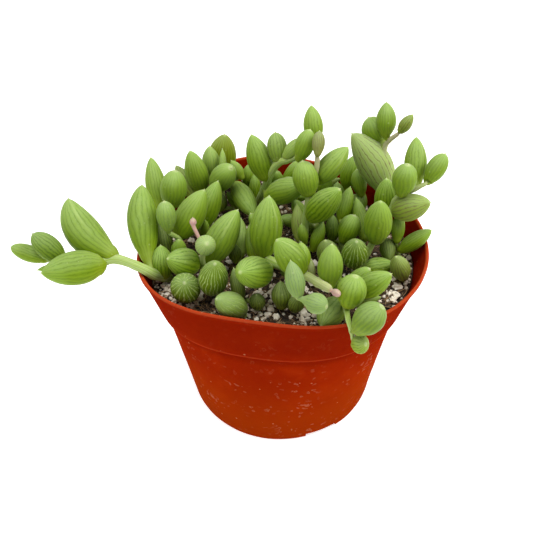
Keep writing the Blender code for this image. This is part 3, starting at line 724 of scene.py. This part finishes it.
def addStems(store, thick, blush, ways, joints, pick, make):
    thick, thin = (0.5 * size for size in thick)
    for number, way in enumerate(ways):
        start = thick if number == 0 else thin
        last = len(way) - 1
        radii = []
        for i, point in enumerate(way):
            radius = start + (thin - start) * i / last
            near = min((point - joint).length for joint in joints)
            radius *= 1 + make["swell"] * exp(-((near / 1.1) ** 2)) - 0.03 * sin(i * 1.7 + number)
            radii.append(radius * (0.55 if i == last else 0.9 if i == last - 1 else 1))
        shares = [i / last for i in range(len(way))]
        seed = pick.random()
        before = len(store.points)
        sweep(store, way, radii, shares, make["stemSides"], ((0, 0, 0), (0, 0, 0), (seed, 0, 0)), 1)
        # The blush grows toward the stem's end.
        most = blush if number == 0 else 0.6 * blush
        split = max(1, int(0.55 * last))
        for index in range(before, len(store.points)):
            share = store.marks["girth"][index][2]
            grown = max(0, (share * last - split) / max(last - split, 1))
            store.marks["leafExtra"][index] = (seed, most * grown, 0)


def makeShoot(name, materials, make, root, thick, blush, stems, *leaves):
    pick = random.Random(name)
    ways = [[Vector(point) for point in stem] for stem in stems]
    ways[0] = [Vector((*root, height)) for height in make["root"]] + ways[0]
    ways = [catmullWay(way, make["stemSpacing"]) for way in ways]
    store = MeshStore()
    joints = [addLeaf(store, ways, pick, make, *given) for given in leaves]
    addStems(store, thick, blush, ways, joints, pick, make)
    made = store.makeObject(f"leafy_{name}", materials)
    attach(made, body)
    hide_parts(f"shoot_{name}")


# The pot's sizes, as in the part, and its colours and finish
potMake = {
    "height": 76.8, "rim": 51, "lip": 1.6, "collarBottom": 55.5, "collar": 46.6,
    "bodyTop": 44.9, "base": 39.1, "baseRound": 0.9, "wall": 1.2, "floor": 1.4,
    "waves": [(1, 1.8, 14), (2, 1.9, -31), (3, 2.6, -28), (4, 1.2, 25)],  # lobes, size, bearing of a crest
    "growth": 1.5, "steps": 160, "spacing": 3,
    "notches": 3, "notchBearing": -67, "notch": (6, 13.5, 2.5),
    "uneven": [(0.22, 0.045), (0.07, 0.15)],  # size, noise scale
    "sharpFrom": 40,
    "red": (0.262, 0.0125, 0.0003),
    "light": (0.42, 0.034, 0.002),
    # deep is the pot's darkest red, and is also laid as painted shade round the collar and as a painted shadow
    # below the collar's edge
    "deep": (0.148, 0.004, 0.0002),
    # ridge is a painted highlight along the lip's top and the collar's edge
    "ridge": (0.47, 0.07, 0.02),
    "mineral": (0.52, 0.22, 0.12),
    # painted bounce light from the floor, lighter and more orange toward the foot
    "rust": (0.27, 0.026, 0.0006),
    "ringShare": 0.32, "dotShare": 0.45,
    "specks": {"Scale": 480, "Size": 0.17, "Share": 0.09},
    "grain": {"Scale": 2200, "Coarse": 0.35},
    "rough": (0.4, 0.52),
    "relief": (0.08, 0.5),
    "shader": {
        "Subsurface Weight": 0.4, "Subsurface Radius": (1, 0.2, 0.08), "Subsurface Scale": 0.002,
        "Specular IOR Level": 0, "Coat Weight": 0.008, "Coat Roughness": 0.3,
    },
}


def waveAt(turn):
    return sum(size * cos(lobes * (turn - radians(crest))) for lobes, size, crest in potMake["waves"])


def squeezed(x, y, z):
    # The place of a round pot's point once the pot is squeezed out of round
    radius = hypot(x, y)
    if radius < 1:
        return x, y, z
    share = max(z / potMake["height"], 0) ** potMake["growth"] * min(1, radius / potMake["base"])
    moved = 1 + share * waveAt(atan2(y, x)) / radius
    return x * moved, y * moved, z


def revolve(name, profile, steps):
    # A closed solid from a profile of (radius, height) that starts and ends on the axis
    points = []
    rows = []
    for radius, height in profile:
        turns = [tau * k / steps for k in range(steps)] if radius else [0]
        rows.append(range(len(points), len(points) + len(turns)))
        points += [squeezed(radius * cos(turn), radius * sin(turn), height) for turn in turns]
    faces = []
    for low, high in zip(rows, rows[1:]):
        for k in range(steps):
            after = (k + 1) % steps
            if len(low) == 1:
                faces.append((low[0], high[k], high[after]))
            elif len(high) == 1:
                faces.append((low[k], high[0], low[after]))
            else:
                faces.append((low[k], high[k], high[after], low[after]))
    mesh = newMesh(name, [Vector(point) * mm for point in points], faces)
    work = bmesh.new()
    work.from_mesh(mesh)
    bmesh.ops.recalc_face_normals(work, faces=work.faces)
    work.to_mesh(mesh)
    work.free()
    return mesh


def finerProfile(profile, spacing):
    # Adds points along long straight runs, so that the pot can be uneven there
    fine = [profile[0]]
    for (r0, z0), (r1, z1) in zip(profile, profile[1:]):
        steps = max(1, round(hypot(r1 - r0, z1 - z0) / spacing))
        for step in range(1, steps + 1):
            fine.append((r0 + (r1 - r0) * step / steps, z0 + (z1 - z0) * step / steps))
    return fine


def potProfile(make):
    wall, rim, lip, top = make["wall"], make["rim"], make["lip"], make["height"]
    collar, low, neck = make["collar"], make["collarBottom"], make["bodyTop"]
    base, floor = make["base"], make["floor"]
    half = 0.5 * low
    halfRadius = 0.5 * (base + neck)
    profile = [
        # Floor and wall inside
        (0, floor), (base - wall - 1.4, floor), (base - wall - 0.6, floor + 0.5), (halfRadius - wall, half),
        (neck - wall, low - 0.3), (neck - wall + 0.4, low + 0.6), (collar - wall, low + 1.4),
        # Lip
        (rim - wall - 0.4, top - lip), (rim - wall - 0.05, top - 0.75), (rim - wall + 0.1, top - 0.3),
        (rim - 0.75 * wall, top - 0.06), (rim - 0.5 * wall, top), (rim - 0.25 * wall, top - 0.08),
        (rim - 0.03, top - 0.36), (rim + 0.02, top - 0.8), (rim - 0.02, top - 1.3),
        (rim - 0.2, top - lip - 0.02), (rim - 0.52, top - lip - 0.2), (rim - 0.62, top - lip - 0.6),
        # Collar and body outside
        (collar + 0.06, low + 0.9), (collar - 0.06, low + 0.4), (collar - 0.4, low + 0.06),
        (neck + 0.25, low - 0.2), (neck - 0.02, low - 0.7), (halfRadius, half),
        (base + 0.02, 1.5), (base - 0.12, 0.8), (base - 0.45, 0.25), (base - make["baseRound"], 0), (0, 0),
    ]
    return finerProfile(profile, make["spacing"])


def makePotMaterial(make, grain, specks):
    made, tree, shader = newMaterial("softPotPlastic")
    place = objectPlace(tree)
    height = partsOf(place)[2]
    top, collar = make["height"], make["collarBottom"]

    def band(value, low, high, start, end):
        return value.ramp(low * mm, high * mm, start, end)

    # Dried water rings and mineral dust, mostly low on the body
    wobble = addNode(tree, "ShaderNodeTexNoise", {"Vector": place, "Scale": 140, "Detail": 2})["Color"]
    bent = addNode(tree, "ShaderNodeMix", {0: 0.012, 4: place, 5: wobble}, data_type="VECTOR")[1]
    cells = addNode(tree, "ShaderNodeTexVoronoi", {"Vector": bent, "Scale": 300})["Distance"]
    patchy = noiseOf(place, 75, 3).ramp(0.42, 0.66) * band(height, 34, 56, 1, 0.2)
    rings = abs(cells - 0.2).ramp(0, 0.14, 1, 0) * patchy * make["ringShare"]
    dots = useGroup(specks, place, make["specks"])
    fine = useGroup(grain, place, make["grain"])
    # Painted bounce light makes the body lighter and more orange toward the foot, and painted shade darkens it
    # round the collar. A painted highlight runs along the lip's top and the collar's edge, with a painted shadow
    # just below that edge.
    colour = paint(
        make, make["deep"],
        (noiseOf(place, 28, 4).ramp(0.35, 0.7, 0.65, 1), "red"),
        (noiseOf(place, 60, 5, 0.6).ramp(0.5, 0.8, 0, 0.35), "light"),
        (band(height, 5, 50, 0.85, 0), "rust"),
        (band(height, 52, 62, 0, 0.65), "deep"),
        (band(height, top - 1, top - 0.3, 0, 0.7), "ridge"),
        (band(abs(height - (collar - 1.5) * mm), 0.5, 4.5, 0.6, 0), "deep"),
        (band(abs(height - (collar + 0.6) * mm), 0, 0.9, 0.25, 0), "ridge"),
        (rings, "mineral"), (dots["Mask"] * make["dotShare"], "mineral"), (fine["Mask"] * 0.1, "light"),
    )
    finishSurface(shader, make, colour, fine, fine["Height"] + rings * 2, rings * 0.6)
    return made


def makePot(make, look):
    pot = addObject("nurseryPot", revolve("nurseryPot", potProfile(make), make["steps"]))
    along, across, high = make["notch"]
    cutters = bpy.data.collections.new("notchCutters")
    bpy.context.scene.collection.children.link(cutters)
    for number in range(make["notches"]):
        turn = radians(make["notchBearing"] + 360 * number / make["notches"])
        box = bmesh.new()
        bmesh.ops.create_cube(box, size=1)
        data = bpy.data.meshes.new("notchCutter")
        box.to_mesh(data)
        box.free()
        cutter = bpy.data.objects.new(f"notchCutter{number}", data)
        cutter.scale = (along * mm, across * mm, 2 * high * mm)
        cutter.rotation_euler.z = turn
        cutter.location = (make["base"] * mm * cos(turn), make["base"] * mm * sin(turn), 0)
        cutters.objects.link(cutter)
    cut = pot.modifiers.new("notches", "BOOLEAN")
    cut.operation = "DIFFERENCE"
    cut.operand_type = "COLLECTION"
    cut.collection = cutters
    bpy.context.view_layer.update()
    graph = bpy.context.evaluated_depsgraph_get()
    done = bpy.data.meshes.new_from_object(pot.evaluated_get(graph), depsgraph=graph)
    pot.modifiers.clear()
    pot.data = done
    for cutter in list(cutters.objects):
        bpy.data.objects.remove(cutter)
    bpy.data.collections.remove(cutters)
    # Hand-thin plastic is never quite even.
    for vertex in done.vertices:
        place = vertex.co / mm
        radius = hypot(place.x, place.y)
        if radius < 20:
            continue
        push = sum(size * noise.noise(place * scale) for size, scale in make["uneven"])
        vertex.co.x += vertex.co.x / radius * push
        vertex.co.y += vertex.co.y / radius * push
    done.materials.clear()
    done.materials.append(look)
    done.shade_smooth()
    done.set_sharp_from_angle(angle=radians(make["sharpFrom"]))
    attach(pot, body)
    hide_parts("pot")


# The soil's sizes, as in the part, and its colours and finish
soilMake = {
    "edge": 67.1, "top": 67.5, "reach": 47.2, "gap": 0.35, "steps": 220, "rings": 64,
    "lumpy": 0.75,
    "lumps": [(0.11, 0.8), (0.35, 0.5), (0.9, 0.3)],  # noise scale, size
    "sunk": 0.25,
    "peat": (0.014, 0.008, 0.004),
    "peatLight": (0.085, 0.048, 0.024),
    "fibre": (0.46, 0.3, 0.15),
    "fibreDark": (0.13, 0.072, 0.035),
    "perlite": (0.98, 0.92, 0.8),
    "perliteShade": (0.8, 0.7, 0.54),
    "specks": {"Scale": 420, "Size": 0.35, "Share": 0.18},
    "grain": {"Scale": 1600, "Coarse": 0.45},
    "rough": (0.8, 1),
    "relief": (0.6, 0.9),
    "gritGrain": {"Scale": 3200, "Coarse": 0.5},
    # What lies on the soil: material, two colours, scale of their clouds, least roughness, relief
    "grit": [
        ("peatCrumb", "peat", "peatLight", 300, 0.8, 0.2),
        ("peatFibre", "fibre", "fibreDark", 240, 0.7, 0.1),
        ("perlite", "perlite", "perliteShade", 260, 0.75, 0.3),
    ],
}


def groundHeight(x, y):
    place = Vector((x, y, 0))
    rough = sum(noise.noise(place * scale) * size for scale, size in soilMake["lumps"])
    return soilMake["top"] + soilMake["lumpy"] * rough - soilMake["sunk"]


def groundReach(turn):
    # How far the soil reaches from the axis at its top, in that direction
    share = (soilMake["edge"] / potMake["height"]) ** potMake["growth"]
    return soilMake["reach"] + share * waveAt(turn)


def makeSoilMaterial(make, grain, specks):
    made, tree, shader = newMaterial("darkPeat")
    place = objectPlace(tree)
    cloud = noiseOf(place, 420, 5, 0.65)
    dots = useGroup(specks, place, make["specks"])
    fine = useGroup(grain, place, make["grain"])
    coats = (cloud.ramp(0.42, 0.68), "peatLight"), (dots["Mask"] * 0.5, "fibreDark")
    finishSurface(shader, make, paint(make, make["peat"], *coats), fine, fine["Height"] + cloud)
    return made


def makeGritMaterial(make, grain, name, base, other, clouds, rough, depth):
    # Colour that differs from grain to grain by its place, with fine pits
    made, tree, shader = newMaterial(name)
    place = objectPlace(tree)
    fine = useGroup(grain, place, make["gritGrain"])
    coats = (noiseOf(place, clouds, 2).ramp(0.38, 0.66), other), (fine["Mask"] * 0.35, other)
    finish = {"rough": (rough, 1), "relief": (depth, 0.8)}
    finishSurface(shader, finish, paint(make, make[base], *coats), fine, fine["Height"])
    return made


def makeSoil(make, look):
    outer, rings, top = make["reach"], make["rings"], make["top"]
    collar, floor = potMake["collarBottom"], potMake["floor"] + make["gap"]

    def inside(radius):
        return radius - potMake["wall"] - make["gap"]

    profile = [
        (0, floor),
        (inside(potMake["base"]) - 0.8, floor),
        (inside(0.5 * (potMake["base"] + potMake["bodyTop"])), 0.5 * collar),
        (inside(potMake["bodyTop"]) - 0.1, collar + 0.2),
        (inside(potMake["collar"]) - 0.1, collar + 1.6),
        (outer, make["edge"] - 1.2),
    ]
    profile += [(outer * (1 - ring / rings), top) for ring in range(rings)] + [(0, top)]
    mesh = revolve("soilFill", profile, make["steps"])
    for vertex in mesh.vertices:
        x, y, z = vertex.co / mm
        if z > top - 0.01:
            vertex.co.z = groundHeight(x, y) * mm
    mesh.materials.append(look)
    mesh.shade_smooth()
    soil = addObject("soilFill", mesh)
    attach(soil, body)
    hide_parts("soil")


# Grains on the soil. apart is how far they keep from one another, as a share of their sizes together.
crumbMake = {
    "name": "peatCrumbs",
    "seed": 7, "count": 2200, "sizes": (0.2, 0.85), "flat": 0.8, "pitted": 0.6,
    "lift": (-0.3, 0.5), "apart": 0, "smooth": True, "patches": [],
}
perliteMake = {
    "name": "perliteGrains",
    "seed": 8, "count": 1300, "sizes": (0.45, 1.5), "flat": 0.85, "pitted": 0.7,
    "lift": (0.1, 0.9), "apart": 0.8, "smooth": False,
    # Open ground where more of them lie: x, y, half width along x and y, share of the grains
    "patches": [
        (-9, -29, 5, 6, 0.085), (-1, -25, 3, 3, 0.03), (9, -35, 4, 4, 0.055), (-41, -20, 4, 5, 0.07),
        (-30, -26, 3, 3, 0.02), (37, -26.5, 3, 2, 0.012), (47.2, -17, 1.6, 8, 0.11), (38, 29, 5, 4, 0.05),
    ],
}


def scatterSpot(pick, patches, size):
    # A place on open ground that keeps a grain of that size off the wall
    while True:
        luck = pick.random()
        for x, y, wide, deep, share in patches:
            if luck < share:
                spot = (pick.gauss(x, 0.6 * wide), pick.gauss(y, 0.6 * deep))
                break
            luck -= share
        else:
            spot = (pick.uniform(-52, 56), pick.uniform(-52, 52))
        turn = atan2(spot[1], spot[0])
        if hypot(*spot) < groundReach(turn) - size - 0.3:
            return spot


def addGrain(points, faces, template, place, size, make, pick):
    # One uneven grain: the template ball, stretched, turned and pitted
    turn = Matrix.Rotation(pick.uniform(0, tau), 3, "Z") @ Matrix.Rotation(pick.uniform(0, tau), 3, "X")
    stretch = Vector((pick.uniform(0.75, 1.25), pick.uniform(0.75, 1.25), pick.uniform(0.6, 1)))
    offset = Vector([pick.uniform(0, 90) for _ in range(3)])
    pitted = make["pitted"]
    start = len(points)
    for corner in template[0]:
        swell = 1 + pitted * noise.noise(corner * 1.6 + offset) + 0.5 * pitted * noise.noise(corner * 4 + offset)
        spun = turn @ Vector([corner[i] * stretch[i] * swell for i in range(3)])
        spun.z *= make["flat"]
        points.append((place + spun * size) * mm)
    for face in template[1]:
        faces.append([start + index for index in face])


def ballTemplate(subdivisions):
    ball = bmesh.new()
    bmesh.ops.create_icosphere(ball, subdivisions=subdivisions, radius=1)
    made = ([vertex.co.copy() for vertex in ball.verts], [[v.index for v in face.verts] for face in ball.faces])
    ball.free()
    return made


def gritObject(name, points, faces, look, smooth=True):
    mesh = newMesh(name, points, faces, look)
    if smooth:
        mesh.shade_smooth()
    made = addObject(name, mesh)
    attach(made, body)


def makeGrains(make, look):
    pick = random.Random(make["seed"])
    template = ballTemplate(2)
    least, most = make["sizes"]
    points, faces, placed = [], [], []
    for _ in range(make["count"]):
        size = least + (most - least) * pick.random() ** 2
        x, y = scatterSpot(pick, make["patches"], size)
        keep = make["apart"]
        if keep and any(hypot(x - a, y - b) < keep * (size + other) for a, b, other in placed):
            continue
        placed.append((x, y, size))
        height = groundHeight(x, y) + pick.uniform(*make["lift"]) * size
        addGrain(points, faces, template, Vector((x, y, height)), size, make, pick)
    gritObject(make["name"], points, faces, look, make["smooth"])


def heldInside(x, y, margin):
    # The place itself, or the nearest one that is so far inside the soil's edge
    far = hypot(x, y)
    reach = groundReach(atan2(y, x)) - margin
    return (x, y) if far <= reach else (x * reach / far, y * reach / far)


# Thin bent threads of peat that lie on the soil
fibreMake = {
    "seed": 9, "count": 2600, "steps": 6, "long": (2, 7), "radius": (0.08, 0.24),
    "curl": (-0.5, 0.5), "lift": (0.05, 0.9), "margin": 0.4,
}


def makeFibres(make, look):
    pick = random.Random(make["seed"])
    steps = make["steps"]
    points, faces = [], []
    for _ in range(make["count"]):
        long = pick.uniform(*make["long"])
        x, y = scatterSpot(pick, [], 0.1)
        heading = pick.uniform(0, tau)
        curl, radius, lift = (pick.uniform(*make[key]) for key in ("curl", "radius", "lift"))
        start = len(points)
        for step in range(steps + 1):
            share = step / steps
            side = Vector((-sin(heading), cos(heading), 0))
            width = radius * (1 - 0.7 * abs(2 * share - 1))
            hump = lift * sin(pi * share)
            centre = Vector((x, y, groundHeight(x, y) + 0.1 + hump))
            for k in range(3):
                turn = tau * k / 3
                points.append((centre + width * (cos(turn) * side + Vector((0, 0, sin(turn))))) * mm)
            x += cos(heading) * long / steps
            y += sin(heading) * long / steps
            x, y = heldInside(x, y, make["margin"])
            heading += curl * pick.uniform(0.2, 1.2)
        for low in range(start, start + 3 * steps, 3):
            for k in range(3):
                after = (k + 1) % 3
                faces.append((low + k, low + after, low + 3 + after, low + 3 + k))
        faces.append((start + 2, start + 1, start))
        end = start + 3 * steps
        faces.append((end, end + 1, end + 2))
    gritObject("peatFibres", points, faces, look)


# The floor's glow grows from near the pot outward, and keeps the ground pale.
floorMake = {
    "size": 6000,
    "colour": (0.95, 0.95, 0.95),
    "shade": (0.93, 0.93, 0.93),
    "glowFrom": (200, 600),
    "glow": (0.66, 0.92),
    "shader": {"Roughness": 0.9, "Specular IOR Level": 0.2, "Emission Color": (1, 1, 1)},
}


def makeFloor(make):
    made, tree, shader = newMaterial("paleFloor")
    place = objectPlace(tree)
    far = addNode(tree, "ShaderNodeVectorMath", {0: place}, operation="LENGTH")["Value"]
    near, wide = (reach * mm for reach in make["glowFrom"])
    inputs = {
        "Base Color": mixColour(tree, noiseOf(place, 3, 2), make["colour"], make["shade"]),
        "Emission Strength": far.ramp(near, wide, *make["glow"]),
    }
    setInputs(tree, shader, inputs | make["shader"])
    half = 0.5 * make["size"] * mm
    corners = [(-half, -half, 0), (half, -half, 0), (half, half, 0), (-half, half, 0)]
    floor = addObject("paleFloor", newMesh("paleFloor", corners, [(0, 1, 2, 3)], made))


makeCamera(cameraMake)
makeLights(lightMake)
makeFloor(floorMake)
bpy.context.scene.view_settings.view_transform = "Standard"
print("camera, lights and floor made")

grainGroup = makeGrainGroup()
speckGroup = makeSpeckGroup()

makePot(potMake, makePotMaterial(potMake, grainGroup, speckGroup))
print("pot made")

makeSoil(soilMake, makeSoilMaterial(soilMake, grainGroup, speckGroup))
crumbLook, fibreLook, perliteLook = (makeGritMaterial(soilMake, grainGroup, *row) for row in soilMake["grit"])
makeGrains(crumbMake, crumbLook)
makeGrains(perliteMake, perliteLook)
makeFibres(fibreMake, fibreLook)
print("soil made")

leafMaterials = [makeLeafMaterial(leafMake, grainGroup, speckGroup), makeStemMaterial(stemMake, grainGroup)]
for shootName, plant in shoots.items():
    makeShoot(shootName, leafMaterials, shapeMake, *plant)
for number, row in enumerate(rosetteMake["rows"]):
    makeShoot(f"rosette_{number + 1}", leafMaterials, shapeMake, *rosette(rosetteMake, *row))
print("shoots made")
